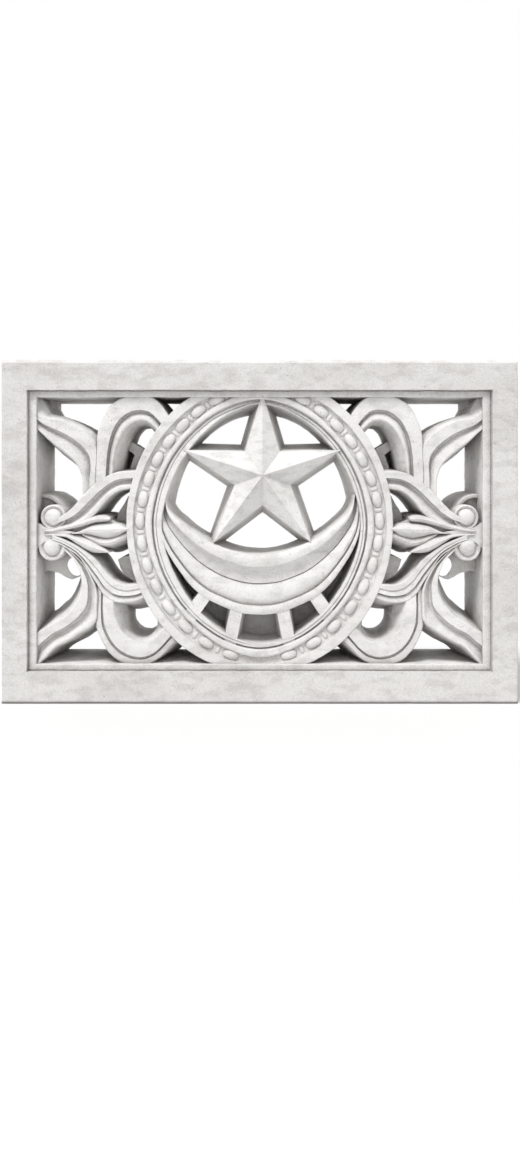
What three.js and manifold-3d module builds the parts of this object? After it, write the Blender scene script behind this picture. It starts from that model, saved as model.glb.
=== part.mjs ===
// Pierced screen panel cast in one piece: a plain frame around an upright oval ring with a star and a
// crescent, and mirrored leaf scrolls on both sides. Millimetres, +Z up, the front faces -Y.
// A place on the panel is [u, z]: u is the distance from the upright centre line, z the height above the
// bed. Depth is measured back from the frame's face.
import * as THREE from 'three';
import { mergeVertices } from 'three/addons/utils/BufferGeometryUtils.js';
import Module from 'manifold-3d';

// Panel and frame
const panelWidth = 600;
const panelHeight = 400;
const panelThickness = 100;
const sideRail = 29.5;
const topRail = 35.5;
const bottomRail = 37;
const sideFillet = 10;
const endFillet = 8;
const filletDepth = 8;
const filletCove = 2.5;
const arris = 1.5;
const topBevel = 4.5;

// The carving's front is level with the fillet, its back with the panel's back
const front = filletDepth;
const back = panelThickness;

// Oval ring: each line is [half width, half height, roundness], all about one centre
const ringCentre = 207.8;
const ringOuter = [157, 175, 2];
const ringGroove = [147.5, 163.6, 1.95];
const ringChannel = [133.6, 155.7, 1.75];
const ringCrease = [126, 146, 1.85];
const ringLip = [116.5, 141.5, 1.75];
const ringBack = [110.5, 135, 1.9];
const ringSteps = 52;
const channelDepth = 4;
const creaseDepth = 3;
const lipDrop = 1.5;
const ringOuterFlare = 8;
const ringOpeningShift = 2;

// Beads along the ring's channel: one at the top, one at the bottom and a row down each side. Counted from
// the level of the ring's centre, bead k sits at beadFirst + beadTurn * k - beadCrowding * k * k degrees.
const beadFirst = 1.6;
const beadTurn = 10.6;
const beadCrowding = 0.1;
const beadsBelow = 7;
const beadsAbove = 8;
const beadLength = 24;
const beadWidth = 11;
const beadHeight = 4;

// Five-pointed star, a little right of the centre line
const starPoints = 5;
const starCentre = [3.2, 265];
const starRadius = 97;
const starWaist = 34.7;
const starPeakDepth = 2;
const starTipDepth = 9;
const starWaistDepth = 16;
const starFlare = 11.3;
const starBackShift = [0.4, 1.8];

// Crescent below the star, as stations from the left horn to the middle: upper edge, lower edge
const crescentHalf = [
  [[111, 243], [119, 241]],
  [[108, 230], [119, 219]],
  [[101.5, 219], [117.5, 201]],
  [[92, 210], [113, 186]],
  [[81.6, 201.3], [105, 169.7]],
  [[69.9, 193.7], [93.3, 152.1]],
  [[58.2, 187.5], [81.6, 137]],
  [[44, 181], [66.5, 123.5]],
  [[30, 176], [46.5, 113]],
  [[15, 173], [23, 104.3]],
  [[0, 172], [0, 102]],
];
const crescentLean = [[0, 1.5, 2.6, 2.6, 2.6, 1.5, 0], 0];
const crescentProfile = [
  [0, 3], [0.08, 0], [0.22, 0.5], [0.27, 4], [0.5, 8], [0.53, 5.5], [0.82, 1.5], [0.85, 4], [0.88, 1.5], [1, 1.5],
];

// Struts from the crescent to the ring over a web that closes the spaces between them at the back
const strutPlans = [
  [[[69, 131.5], [56, 123.6]], [[87, 106], [76, 94]]],
  [[[33, 116], [18.9, 112]], [[42.3, 66], [29.4, 60]]],
];
const strutLeans = [[4, 4], [8, [6, 15]]];
const strutDepth = 10.5;
const webDepth = 62;
const webTop = 190;

// Leaves and scrolls of one side, as stations across the leaf from its first edge to its second
const upperLeaf = [
  [[265, 343], [265, 322]],
  [[250, 332.5], [256, 314.7]],
  [[232.3, 329.8], [241.8, 301.8]],
  [[218.8, 324.4], [231.3, 294.2]],
  [[207.2, 317.3], [221.4, 285.8]],
  [[198.2, 310.1], [213.8, 276.7]],
  [[192, 302.1], [209.7, 268.5]],
  [[190.4, 289], [207.6, 259.7]],
  [[191.8, 271.4], [207.6, 249.2]],
  [[194, 254], [210.3, 239.3]],
];
const upperLobe = [
  [[191.6, 253], [172.8, 257]],
  [[192.1, 271.4], [172.1, 271.4]],
  [[191, 294], [170.5, 289]],
  [[189.2, 317], [165.2, 306.5]],
  [[179.9, 340.4], [158.8, 318.2]],
  [[168.2, 352.1], [152.4, 324.6]],
  [[154.1, 358.5], [145.4, 329.1]],
  [[138.9, 359.9], [138.9, 330.1]],
  [[125.4, 356.5], [132.5, 329]],
  [[115.5, 347.8], [126.7, 324.9]],
  [[106.2, 334.6], [120.8, 318.8]],
  [[100, 323], [115.5, 311]],
];
const upperStem = [
  [[140, 270.3], [140, 249.2]],
  [[154.1, 269.9], [154.1, 249.2]],
  [[165.8, 269.1], [165.2, 246.9]],
  [[176.4, 265.6], [175.2, 240.4]],
  [[188, 258.6], [182.7, 232.3]],
  [[199.7, 249.2], [190.4, 222.3]],
  [[207.9, 241], [198.6, 214.1]],
  [[215.5, 231.7], [207.9, 208.3]],
  [[223.7, 223.5], [219.6, 203.6]],
  [[232.5, 217.6], [231.3, 200.7]],
  [[243, 213], [243, 199]],
];
const lowerStem = [
  [[243, 196], [243, 186]],
  [[230.5, 190.9], [234.4, 184]],
  [[218.8, 185.7], [217.5, 174]],
  [[210, 180.5], [209.8, 166.5]],
  [[200.7, 174], [204.5, 158]],
  [[194.5, 169], [198.1, 148]],
  [[189, 163.6], [192.8, 140]],
  [[183.4, 156.5], [187.7, 132]],
  [[178.6, 150.6], [182.4, 124.5]],
  [[170.7, 142.5], [171, 117]],
  [[160.3, 137.5], [158, 115.9]],
  [[149.9, 137.5], [144, 118]],
  [[139, 139.5], [130, 124]],
];
const lowerLeaf = [
  [[265, 79.6], [265, 35.2]],
  [[254.7, 84.9], [253, 49.2]],
  [[245.4, 90.7], [239.5, 63.3]],
  [[233.7, 96.6], [224.3, 71.5]],
  [[224.3, 104.2], [211.4, 79.6]],
  [[216.1, 114.7], [200.9, 85.5]],
  [[210.9, 125.3], [191.6, 94.8]],
  [[208.8, 135.8], [190.4, 111.2]],
  [[209.2, 146], [190.4, 129]],
  [[212.4, 156], [196.5, 145]],
  [[217, 164.6], [204, 158]],
  [[226.6, 174.6], [220, 173]],
];
const lowerLobe = [
  [[192.1, 136.9], [171.7, 134]],
  [[192.1, 119.4], [171.1, 119]],
  [[192.1, 101.9], [170.5, 105.4]],
  [[191.6, 86.7], [167, 94]],
  [[185.7, 71.4], [163.8, 86]],
  [[177.5, 58], [159, 79.8]],
  [[167, 48], [152.5, 75]],
  [[154.1, 42.2], [145, 71.5]],
  [[140.1, 41], [136.6, 69.9]],
  [[127.2, 44.6], [128.4, 71.3]],
  [[116.7, 52.1], [121.4, 75.5]],
  [[107.4, 61.5], [116.7, 81]],
  [[96.8, 72.6], [112, 88]],
];

// Cross-section of each element: [place across from the first edge (0) to the second (1), drop]
const upperLeafProfile = [[0, 1], [0.06, 0], [0.38, 0], [0.47, 4.5], [0.72, 2], [0.95, 0.5], [1, 1.5]];
const upperLobeProfile = [[0, 1], [0.05, 0], [0.61, 0], [0.67, 5], [0.86, 2], [1, 2]];
const upperStemProfile = [[0, 1], [0.06, 0], [0.39, 0], [0.44, 4.5], [0.68, 3.5], [0.8, 1.5], [1, 2]];
const lowerStemProfile = [
  [0, 1], [0.06, 0], [0.4, 0], [0.43, 1.5], [0.55, 0.5], [0.59, 3.5], [0.64, 1], [1, 1.5],
];
const lowerLeafProfile = [[0, 1], [0.06, 0], [0.4, 0], [0.5, 5], [0.78, 3.5], [0.9, 0.5], [1, 1.5]];
const lowerLobeProfile = [[0, 5], [0.3, 1.5], [0.34, 3.5], [0.4, 0.5], [0.6, 1], [1, 0.5]];
const sepalProfile = [[0, 3], [0.2, 1], [0.6, 0], [1, 2.5]];
const bulbProfile = [[0, 4], [0.15, 1.5], [0.4, -1.5], [0.65, -1], [0.88, 1.5], [1, 4]];
const plainProfile = [[0, 0], [1, 0]];

// How far each side wall leans out from the front to the back, from the start of the element to its end
const upperLeafLean = [[9, 8.5, 6, 4.5, 5, 7, 7], 12.5];
const upperLobeLean = [5.5, [8, 8, 8.5, 8, 7, 6, 5, 5, 5, 5, 5, 5]];
const upperStemLean = [[8, 6, 5], [3, 3, 3, 4]];
const lowerStemLean = [[0, 0, 0, -1, -3, -3, -3], [3, 5, 8, 12, 19, 22, 22]];
const lowerLeafLean = [[12, 12, 13, 16, 20, 22, 24, 24, 24, 25, 24, 22], [15, 15, 14, 12, 11, 9, 6, 3]];
const lowerLobeLean = [14.5, [12, 12, 11, 9.5, 7.5, 4.5, 2, 1, 2, 5, 9, 13, 14]];

// Both lobes have a shallow ledge inside the loop before the wall drops to the back
const upperLedge = 9;
const lowerLedge = 7;

// Calyx between the two volutes: a bulb between sepals
const upperSepal = [
  [[250, 201.3], [250, 197]],
  [[236, 203.8], [236, 197]],
  [[222, 208.9], [222, 199]],
  [[210.3, 213.3], [210.3, 201]],
  [[198.6, 216.7], [198.6, 205]],
  [[187.5, 218.5], [187.5, 207]],
  [[179, 217], [179, 209]],
];
const bulb = [
  [[224.3, 199.2], [224.3, 197]],
  [[215, 201.5], [215, 196]],
  [[205.6, 204.4], [205.6, 195]],
  [[197.4, 207.1], [197.4, 192.5]],
  [[188, 209], [188, 190.5]],
  [[178.7, 209.7], [178.7, 189.6]],
  [[171.7, 209.7], [171.7, 190.7]],
  [[164.7, 209.1], [164.7, 195.1]],
  [[150, 206], [150, 199]],
];
const lowerSepal = [
  [[248, 198.5], [248, 190]],
  [[233.7, 198.5], [233.7, 189.6]],
  [[222, 199], [222, 188.5]],
  [[210.3, 197], [210.3, 184.2]],
  [[200.9, 194.5], [200.9, 178.8]],
  [[190.4, 192], [190.4, 175]],
  [[179.9, 192], [179.9, 174.8]],
];
const innerSepal = [
  [[188, 192], [188, 182.6]],
  [[178.7, 192], [178.7, 181]],
  [[171.7, 193], [171.7, 182.2]],
  [[163.5, 197], [163.5, 185.5]],
  [[148, 203], [148, 190.5]],
];
const innerSepalLean = [1, 13];
const sepalLean = [1, 3];

// Volutes: a round pad with a ball on it beside each side rail, [u, z]
const volutes = [[242.2, 216], [243.8, 181]];
const volutePadRadius = 16;
const volutePadDrop = 1;
const voluteBallRadius = 10;
const voluteBallDepth = 12;
const voluteRoot = [[264, 207], [236, 207], [236, 190], [264, 176]];

// Deeper pieces: the depth of the front, its outline and, where the walls lean, the outline at the back
const upperCurl = [
  30,
  [[264, 243.5], [257, 243], [243.2, 239.5], [236.7, 232.3], [231.3, 221.6], [236, 205], [264, 205]],
  [[264, 246.5], [256.6, 246], [243.9, 242.1], [231.6, 234.5], [226, 222], [232, 205], [264, 205]],
];
const lowerCurl = [
  42,
  [[264, 151], [255, 150.5], [247.3, 148.7], [241.3, 146.9], [232.8, 142.1], [224, 140.3], [212, 150],
    [226, 174], [264, 182]],
];
const curlEye = [
  40,
  [[226.5, 166], [231.9, 158], [229.9, 151], [223.9, 145], [216, 146], [214, 158]],
  [[238.7, 161.5], [244.3, 152.6], [242.3, 145.4], [235.9, 138.5], [226, 140], [224, 158]],
];
const ringWedge = [
  45,
  [[146, 243], [158, 241], [160.5, 238], [164.4, 230.8], [169.8, 222.3], [172.7, 213.8], [174, 204], [146, 204]],
];
const ringBud = [
  40,
  [[146, 172], [158.5, 168.7], [169.8, 164.7], [169.8, 160.7], [167.2, 152.7], [163.8, 147.4], [154.4, 140],
    [146, 136]],
];
const cornerBlock = [14, [[264, 325], [252.3, 325], [252.3, 358], [264, 358]]];
const lobeWeb = [82, [[170, 255], [170, 300], [157, 303], [147.5, 298], [138, 290], [138, 255]]];
const lobeBridge = [
  45,
  [[172, 306], [156, 306], [149, 302.2], [140.4, 297.1], [138, 290], [138, 262], [157, 262], [156.6, 272.9],
    [153.1, 286.1], [151.5, 290.1], [160.1, 296.6], [172, 300]],
];

const leafSteps = 13;
const shortSteps = 7;
const crescentSteps = 26;
const roundSegments = 14;
const ballRows = 6;
const degree = Math.PI / 180;

const wasm = await Module();
wasm.setup();

function place(u, z, depth) {
  return new THREE.Vector3(u, depth - panelThickness / 2, z);
}

// A closed solid from points and triangles, turned so that its faces point out
function solid(points, triangles) {
  let volume = 0;
  for (const [a, b, c] of triangles) {
    volume += new THREE.Vector3().crossVectors(points[a], points[b]).dot(points[c]);
  }
  const outward = volume > 0 ? triangles : triangles.map(([a, b, c]) => [a, c, b]);
  return new wasm.Manifold(new wasm.Mesh({
    numProp: 3,
    vertProperties: new Float32Array(points.flatMap((p) => p.toArray())),
    triVerts: new Uint32Array(outward.flat()),
  }));
}

// Skin over a row of sections that all have the same number of points. With joined, the last section meets
// the first; otherwise both ends are capped by a fan from each section's first point.
function loft(sections, joined = false) {
  const count = sections[0].length;
  const triangles = [];
  const spans = joined ? sections.length : sections.length - 1;
  for (let i = 0; i < spans; i++) {
    const near = i * count;
    const far = ((i + 1) % sections.length) * count;
    for (let k = 0; k < count; k++) {
      const next = (k + 1) % count;
      triangles.push([near + k, near + next, far + next]);
      triangles.push([near + k, far + next, far + k]);
    }
  }
  if (!joined) {
    const last = (sections.length - 1) * count;
    for (let k = 1; k < count - 1; k++) {
      triangles.push([0, k + 1, k]);
      triangles.push([last, last + k, last + k + 1]);
    }
  }
  return solid(sections.flat(), triangles);
}

// Block with any outline, from a depth to the back. The back may have an outline of its own.
function block([depth, nearOutline, farOutline = nearOutline], farDepth = back) {
  const count = nearOutline.length;
  const flat = nearOutline.map(([u, z]) => new THREE.Vector2(u, z));
  const points = [
    ...nearOutline.map(([u, z]) => place(u, z, depth)),
    ...farOutline.map(([u, z]) => place(u, z, farDepth)),
  ];
  const turn = THREE.ShapeUtils.isClockWise(flat) ? -1 : 1;
  const triangles = [];
  for (const [a, b, c] of THREE.ShapeUtils.triangulateShape(flat, [])) {
    const firstSide = flat[b].clone().sub(flat[a]);
    const secondSide = flat[c].clone().sub(flat[a]);
    const [p, q] = firstSide.cross(secondSide) * turn > 0 ? [b, c] : [c, b];
    triangles.push([a, q, p]);
    triangles.push([a + count, p + count, q + count]);
  }
  for (let k = 0; k < count; k++) {
    const next = (k + 1) % count;
    triangles.push([k, next, next + count]);
    triangles.push([k, next + count, k + count]);
  }
  return solid(points, triangles);
}

function disc([u, z], radius) {
  return Array.from({ length: roundSegments }, (_, i) => {
    const angle = (i / roundSegments) * Math.PI * 2;
    return [u + radius * Math.cos(angle), z + radius * Math.sin(angle)];
  });
}

function fromGeometry(geometry) {
  geometry.deleteAttribute('normal');
  geometry.deleteAttribute('uv');
  const merged = mergeVertices(geometry, 1e-4);
  const position = merged.getAttribute('position');
  const points = [];
  for (let i = 0; i < position.count; i++) {
    points.push(new THREE.Vector3().fromBufferAttribute(position, i));
  }
  const triangles = [];
  for (let i = 0; i < merged.index.count; i += 3) {
    triangles.push([merged.index.getX(i), merged.index.getX(i + 1), merged.index.getX(i + 2)]);
  }
  return solid(points, triangles);
}

// The value at t (0 to 1) along a list, or the value itself when it isn't a list
function along(values, t) {
  if (!Array.isArray(values)) {
    return values;
  }
  const at = t * (values.length - 1);
  const i = Math.min(Math.floor(at), values.length - 2);
  return THREE.MathUtils.lerp(values[i], values[i + 1], at - i);
}

// Carved band between two edges, each a smooth curve through its stations. The walls run to the back and
// lean out; a ledge brings the second wall to its full lean just behind the front.
function band(stations, profile, { steps = leafSteps, lean = [0, 0], drop = 0, ledge = 0 } = {}) {
  const [firstEdge, secondEdge] = [0, 1].map((side) => (
    new THREE.SplineCurve(stations.map((station) => new THREE.Vector2(...station[side])))
  ));
  const sections = [];
  for (let i = 0; i <= steps; i++) {
    const t = i / steps;
    const first = firstEdge.getPoint(t);
    const second = secondEdge.getPoint(t);
    const across = second.clone().sub(first).normalize();
    const firstBack = first.clone().addScaledVector(across, -along(lean[0], t));
    const secondBack = second.clone().addScaledVector(across, along(lean[1], t));
    const middle = first.clone().lerp(second, 0.5);
    const section = [place(middle.x, middle.y, back), place(firstBack.x, firstBack.y, back)];
    for (const [v, fall] of profile) {
      const p = first.clone().lerp(second, v);
      section.push(place(p.x, p.y, front + drop + fall));
    }
    if (ledge > 0) {
      section.push(place(secondBack.x, secondBack.y, front + ledge));
    }
    section.push(place(secondBack.x, secondBack.y, back));
    sections.push(section);
  }
  return loft(sections);
}

function rectangle(half, low, top, depth) {
  return [place(-half, low, depth), place(half, low, depth), place(half, top, depth), place(-half, top, depth)];
}

// Rectangle around the panel, inset from its sides and bottom and from its top
function outerRectangle(inset, depth, topInset = inset) {
  return rectangle(panelWidth / 2 - inset, inset, panelHeight - topInset, depth);
}

// Rectangle in the opening, a share of the way from the face's inner edge across the fillet
function innerRectangle(share, depth) {
  const half = panelWidth / 2 - sideRail - sideFillet * share;
  return rectangle(half, bottomRail + endFillet * share, panelHeight - topRail - endFillet * share, depth);
}

function makeFrame() {
  return loft([
    outerRectangle(arris, back),
    outerRectangle(0, back - arris),
    outerRectangle(0, topBevel, 0),
    outerRectangle(0, arris, topBevel - arris),
    outerRectangle(arris, 0, topBevel),
    innerRectangle(0, 0),
    innerRectangle(0, filletDepth - filletCove),
    innerRectangle(0.3, filletDepth),
    innerRectangle(1, filletDepth),
    innerRectangle(1, back),
  ], true);
}

// Point of one of the ring's lines in a direction from the ring's centre
function oval([halfWidth, halfHeight, roundness], angle, inward = 0) {
  const across = Math.abs(Math.cos(angle)) / (halfWidth - inward);
  const up = Math.abs(Math.sin(angle)) / (halfHeight - inward);
  const radius = (across ** roundness + up ** roundness) ** (-1 / roundness);
  return [radius * Math.cos(angle), ringCentre + radius * Math.sin(angle)];
}

function ovalOutline(line, inward) {
  return Array.from({ length: ringSteps }, (_, i) => oval(line, (i / ringSteps) * Math.PI * 2, inward));
}

function makeRing() {
  const lines = [
    [ringOuter, -ringOuterFlare, back],
    [ringOuter, 0, front],
    [ringGroove, -1.5, front],
    [ringGroove, 0.5, front + channelDepth],
    [ringChannel, -1, front + channelDepth],
    [ringChannel, 0.5, front],
    [ringCrease, -1, front],
    [ringCrease, 0.5, front + creaseDepth],
    [ringCrease, 2, front + lipDrop],
    [ringLip, 0, front + lipDrop, ringOpeningShift],
    [ringBack, 0, back, ringOpeningShift],
  ];
  const sections = [];
  for (let i = 0; i < ringSteps; i++) {
    const angle = (i / ringSteps) * Math.PI * 2;
    sections.push(lines.map(([line, inward, depth, shift = 0]) => {
      const [u, z] = oval(line, angle, inward);
      return place(u + shift, z, depth);
    }));
  }
  return loft(sections, true);
}

function makeBeads() {
  const angles = [90, -90];
  for (let k = -beadsBelow; k <= beadsAbove; k++) {
    const angle = beadFirst + beadTurn * k - beadCrowding * k * k;
    angles.push(angle, 180 - angle);
  }
  return angles.map((angle) => {
    const outer = oval(ringGroove, angle * degree);
    const inner = oval(ringChannel, angle * degree);
    const ahead = oval(ringGroove, (angle + 1) * degree);
    const slope = Math.atan2(ahead[1] - outer[1], ahead[0] - outer[0]);
    const bead = new THREE.OctahedronGeometry(1, 1);
    bead.scale(beadLength / 2, beadHeight, beadWidth / 2);
    bead.rotateY(-slope);
    bead.translate(...place((outer[0] + inner[0]) / 2, (outer[1] + inner[1]) / 2, front + channelDepth));
    return fromGeometry(bead);
  });
}

// Faceted star: a ridge runs from the peak to every tip and a valley to every waist
function makeStar() {
  const half = Math.PI / starPoints;
  const chord = Math.hypot(starRadius - starWaist * Math.cos(half), starWaist * Math.sin(half));
  const edgeDistance = (starRadius * starWaist * Math.sin(half)) / chord;
  const growth = (edgeDistance + starFlare) / edgeDistance;
  const corners = starPoints * 2;
  const points = [place(...starCentre, starPeakDepth)];
  for (let i = 0; i < corners * 2; i++) {
    const atBack = i >= corners;
    const isWaist = i % 2 === 1;
    const angle = Math.PI / 2 + half * i;
    const radius = (isWaist ? starWaist : starRadius) * (atBack ? growth : 1);
    const shift = atBack ? starBackShift : [0, 0];
    const frontDepth = isWaist ? starWaistDepth : starTipDepth;
    points.push(place(
      starCentre[0] + shift[0] + radius * Math.cos(angle),
      starCentre[1] + shift[1] + radius * Math.sin(angle),
      atBack ? back : frontDepth,
    ));
  }
  points.push(place(...starCentre, back));
  const triangles = [];
  for (let i = 0; i < corners; i++) {
    const a = 1 + i;
    const b = 1 + ((i + 1) % corners);
    triangles.push([0, a, b]);
    triangles.push([a, a + corners, b + corners]);
    triangles.push([a, b + corners, b]);
    triangles.push([points.length - 1, b + corners, a + corners]);
  }
  return solid(points, triangles);
}

// The crescent, and the web behind the spaces under it
function makeCrescent() {
  const mirrored = crescentHalf.slice(0, -1).reverse().map((station) => station.map(([u, z]) => [-u, z]));
  const stations = [...crescentHalf, ...mirrored];
  const webStations = stations.map(([upper, lower]) => {
    const middle = [(upper[0] + lower[0]) / 2, (upper[1] + lower[1]) / 2];
    return [middle, oval(ringCrease, Math.atan2(lower[1] - ringCentre, lower[0]))];
  }).filter(([middle]) => middle[1] < webTop);
  return [
    band(stations, crescentProfile, { steps: crescentSteps, lean: crescentLean }),
    band(webStations, plainProfile, { steps: crescentSteps, drop: webDepth - front }),
  ];
}

function makeVolute(side, [u, z]) {
  const ball = new THREE.SphereGeometry(voluteBallRadius, roundSegments, ballRows);
  ball.translate(...place(side * u, z, voluteBallDepth));
  return [fromGeometry(ball), block([front + volutePadDrop, disc([side * u, z], volutePadRadius)])];
}

// Everything on one side of the ring; side is 1 or -1
function makeSide(side, ringBody) {
  const turn = (outline) => outline.map(([u, z]) => [side * u, z]);
  const leaf = (stations, profile, lean, ledge) => (
    band(stations.map(turn), profile, { lean, ledge }).subtract(ringBody)
  );
  const sepal = (stations, profile, lean) => (
    band(stations.map(turn), profile, { lean, steps: shortSteps }).subtract(ringBody)
  );
  const deep = ([depth, ...outlines]) => block([depth, ...outlines.map(turn)]);
  return [
    leaf(upperLeaf, upperLeafProfile, upperLeafLean),
    leaf(upperLobe, upperLobeProfile, upperLobeLean, upperLedge),
    leaf(upperStem, upperStemProfile, upperStemLean),
    leaf(lowerStem, lowerStemProfile, lowerStemLean),
    leaf(lowerLeaf, lowerLeafProfile, lowerLeafLean),
    leaf(lowerLobe, lowerLobeProfile, lowerLobeLean, lowerLedge),
    sepal(upperSepal, sepalProfile, sepalLean),
    sepal(lowerSepal, sepalProfile, sepalLean),
    sepal(innerSepal, sepalProfile, innerSepalLean),
    sepal(bulb, bulbProfile, sepalLean),
    deep([front + volutePadDrop, voluteRoot]),
    deep(upperCurl),
    deep(lowerCurl).subtract(deep(curlEye)),
    deep(ringWedge),
    deep(ringBud),
    deep(cornerBlock),
    deep(lobeWeb),
    deep(lobeBridge),
    ...volutes.flatMap((centre) => makeVolute(side, centre)),
    ...strutPlans.map((plan, i) => (
      band(plan.map(turn), plainProfile, { steps: 1, lean: strutLeans[i], drop: strutDepth - front })
    )),
  ];
}

const ringBody = block([0, ovalOutline(ringOuter, 2)], back + 1);
const pieces = [
  makeRing(),
  ...makeBeads(),
  makeStar().intersect(ringBody),
  ...makeCrescent(),
  ...makeSide(1, ringBody),
  ...makeSide(-1, ringBody),
];
const panel = pieces.reduce((whole, piece) => whole.add(piece), makeFrame());
const { vertProperties, triVerts } = panel.getMesh();
const geometry = new THREE.BufferGeometry();
geometry.setAttribute('position', new THREE.BufferAttribute(vertProperties, 3));
geometry.setIndex(new THREE.BufferAttribute(triVerts, 1));
geometry.computeVertexNormals();

const castStone = new THREE.MeshStandardMaterial({ color: 0xdcdad5, roughness: 0.9, metalness: 0 });
const screenPanel = new THREE.Mesh(geometry, castStone);
screenPanel.name = 'screen_panel';

const group = new THREE.Group();
group.add(screenPanel);

export default group;
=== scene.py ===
# Pierced screen panel of cast stone: its fine carved surface and material, a pale floor, soft light and
# the camera. Sizes are in millimetres and MM turns them into Blender's metres; sizes in the materials are in
# metres. A place on the panel is [u, z]: u is the distance from the upright centre line and z the height
# above the bed. Depth is measured back from the face.
import math

import bmesh
import bpy
import numpy as np
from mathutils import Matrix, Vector, noise


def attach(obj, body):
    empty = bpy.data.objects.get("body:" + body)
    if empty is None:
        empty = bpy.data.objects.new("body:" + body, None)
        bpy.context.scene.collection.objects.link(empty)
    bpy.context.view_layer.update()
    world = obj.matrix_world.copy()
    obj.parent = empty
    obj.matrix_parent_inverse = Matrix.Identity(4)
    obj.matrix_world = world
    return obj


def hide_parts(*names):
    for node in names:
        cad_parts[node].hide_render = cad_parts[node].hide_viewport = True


MM = 0.001
DEGREE = math.pi / 180

# Panel and frame
PANEL_WIDTH = 600
PANEL_HEIGHT = 400
PANEL_THICKNESS = 100
SIDE_RAIL = 29.5
TOP_RAIL = 35.5
BOTTOM_RAIL = 37
SIDE_FILLET = 10
END_FILLET = 8
FILLET_DEPTH = 5.4
FILLET_GROOVE = 1.2
FILLET_ROUNDING = 0.7
ARRIS = 1.5
TOP_BEVEL = 4.5

# The carving's front lies a little behind the fillet, and its back is the panel's back
FRONT = 8
BACK = PANEL_THICKNESS

# Oval ring: each line is (half width, half height, roundness), all about one centre
RING_CENTRE = 207.8
RING_OUTER = (156, 175, 2)
RING_GROOVE = (147.5, 163.6, 1.95)
RING_CHANNEL = (133.6, 155.7, 1.75)
RING_CREASE = (126, 146, 1.85)
RING_LIP = (116.5, 141.5, 1.75)
RING_BACK = (110.5, 135, 2)
CHANNEL_DEPTH = 4
CREASE_DEPTH = 4.5
RING_ROUNDING = 0.9
LIP_DROP = 1.5
LIP_COVE = 2
LIP_LINE = 1
RING_OUTER_FLARE = 8
RING_OPENING_SHIFT = 2

# Leaves and the star's tips end this far inside the ring's outer line, where a cutter that reaches a little
# past the back trims them
RING_OVERLAP = 2
CUTTER_EXCESS = 1

# Beads along the ring's channel: bead k sits at BEAD_FIRST + BEAD_TURN * k - BEAD_CROWDING * k * k degrees
BEAD_FIRST = 1.6
BEAD_TURN = 10.6
BEAD_CROWDING = 0.1
BEADS_BELOW = 7
BEADS_ABOVE = 8
BEAD_LENGTH = 20
BEAD_WIDTH = 12.4
BEAD_HEIGHT = 4.6
BEAD_SINK = 0.6
BEAD_SQUARENESS = 2.3
REEL_LENGTH = 6
REEL_WIDTH = 11.5
REEL_HEIGHT = 2

# Five-pointed star, a little right of the centre line
STAR_POINTS = 5
STAR_CENTRE = (3.2, 265)
STAR_RADIUS = 97
STAR_WAIST = 34.7
STAR_PEAK_DEPTH = 2
STAR_TIP_DEPTH = 9
STAR_WAIST_DEPTH = 16
STAR_FLARE = 10.3
STAR_BACK_SHIFT = (0.4, 1.8)

# Crescent below the star, as stations from the left horn to the middle: upper edge, lower edge
CRESCENT_HALF = [
    [[111, 243], [119, 241]],
    [[108, 230], [119, 219]],
    [[101.5, 219], [117.5, 201]],
    [[92, 210], [113, 186]],
    [[81.6, 201.3], [105, 169.7]],
    [[69.9, 193.7], [93.3, 152.1]],
    [[58.2, 187.5], [81.6, 137]],
    [[44, 181], [66.5, 123.5]],
    [[30, 176], [46.5, 113]],
    [[15, 173], [23, 104.3]],
    [[0, 172], [0, 102]],
]
CRESCENT_LEAN = ([0, 2, 1.8, 1.8, 2, 2.2, 2.8, 3, 0], 0)
CRESCENT_DIP = [7, 4, 1.5, 0, 0, 0, 0, 0, 0, 0, 0, 0, 0, 0, 0, 0, 0, 0, 1.5, 4, 7]
CRESCENT_PROFILE = [
    (0, 3.4), (0.03, 1.4), (0.08, 0.2), (0.14, -0.2), (0.2, 0.4), (0.235, 3.5), (0.29, 6.6), (0.38, 8),
    (0.485, 7.6), (0.497, 9.4), (0.51, 5), (0.6, 3), (0.72, 2.2), (0.8, 3.2), (0.85, 5.6), (0.862, 1.6),
    (0.9, 0.9), (0.97, 1.2), (1, 2.2),
]

# Struts from the crescent to the ring over a web that closes the spaces between them at the back
STRUT_PLANS = [
    [[[69, 131.5], [56, 123.6]], [[87, 106], [76, 94]]],
    [[[33, 116], [18.9, 112]], [[42.3, 66], [29.4, 60]]],
]
STRUT_LEANS = [(4, 4), (8, [8.5, 19])]
STRUT_DEPTH = 10.5
WEB_DEPTH = 62
WEB_TOP = 190

# Leaves and scrolls of one side, as stations across the leaf from its first edge to its second
UPPER_LEAF = [
    [[265, 343], [265, 322]],
    [[250, 332.5], [256, 314.7]],
    [[232.3, 329.8], [241.8, 301.8]],
    [[218.8, 324.4], [231.3, 294.2]],
    [[207.2, 317.3], [221.4, 285.8]],
    [[198.2, 310.1], [213.8, 276.7]],
    [[192, 302.1], [209.7, 268.5]],
    [[190.4, 289], [207.6, 259.7]],
    [[191.8, 271.4], [207.6, 249.2]],
    [[192, 251], [207.6, 236.6]],
]
UPPER_LOBE = [
    [[191.6, 253], [172.8, 257]],
    [[192.1, 271.4], [172.1, 271.4]],
    [[191, 294], [170.5, 289]],
    [[189.2, 317], [165.2, 306.5]],
    [[179.9, 340.4], [158.8, 318.2]],
    [[168.2, 352.1], [152.4, 324.6]],
    [[154.1, 358.5], [145.4, 329.1]],
    [[138.9, 359.9], [138.9, 330.1]],
    [[125.4, 356.5], [132.5, 329]],
    [[115.5, 347.8], [126.7, 324.9]],
    [[106.2, 334.6], [120.8, 318.8]],
    [[100, 323], [115.5, 311]],
]
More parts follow.
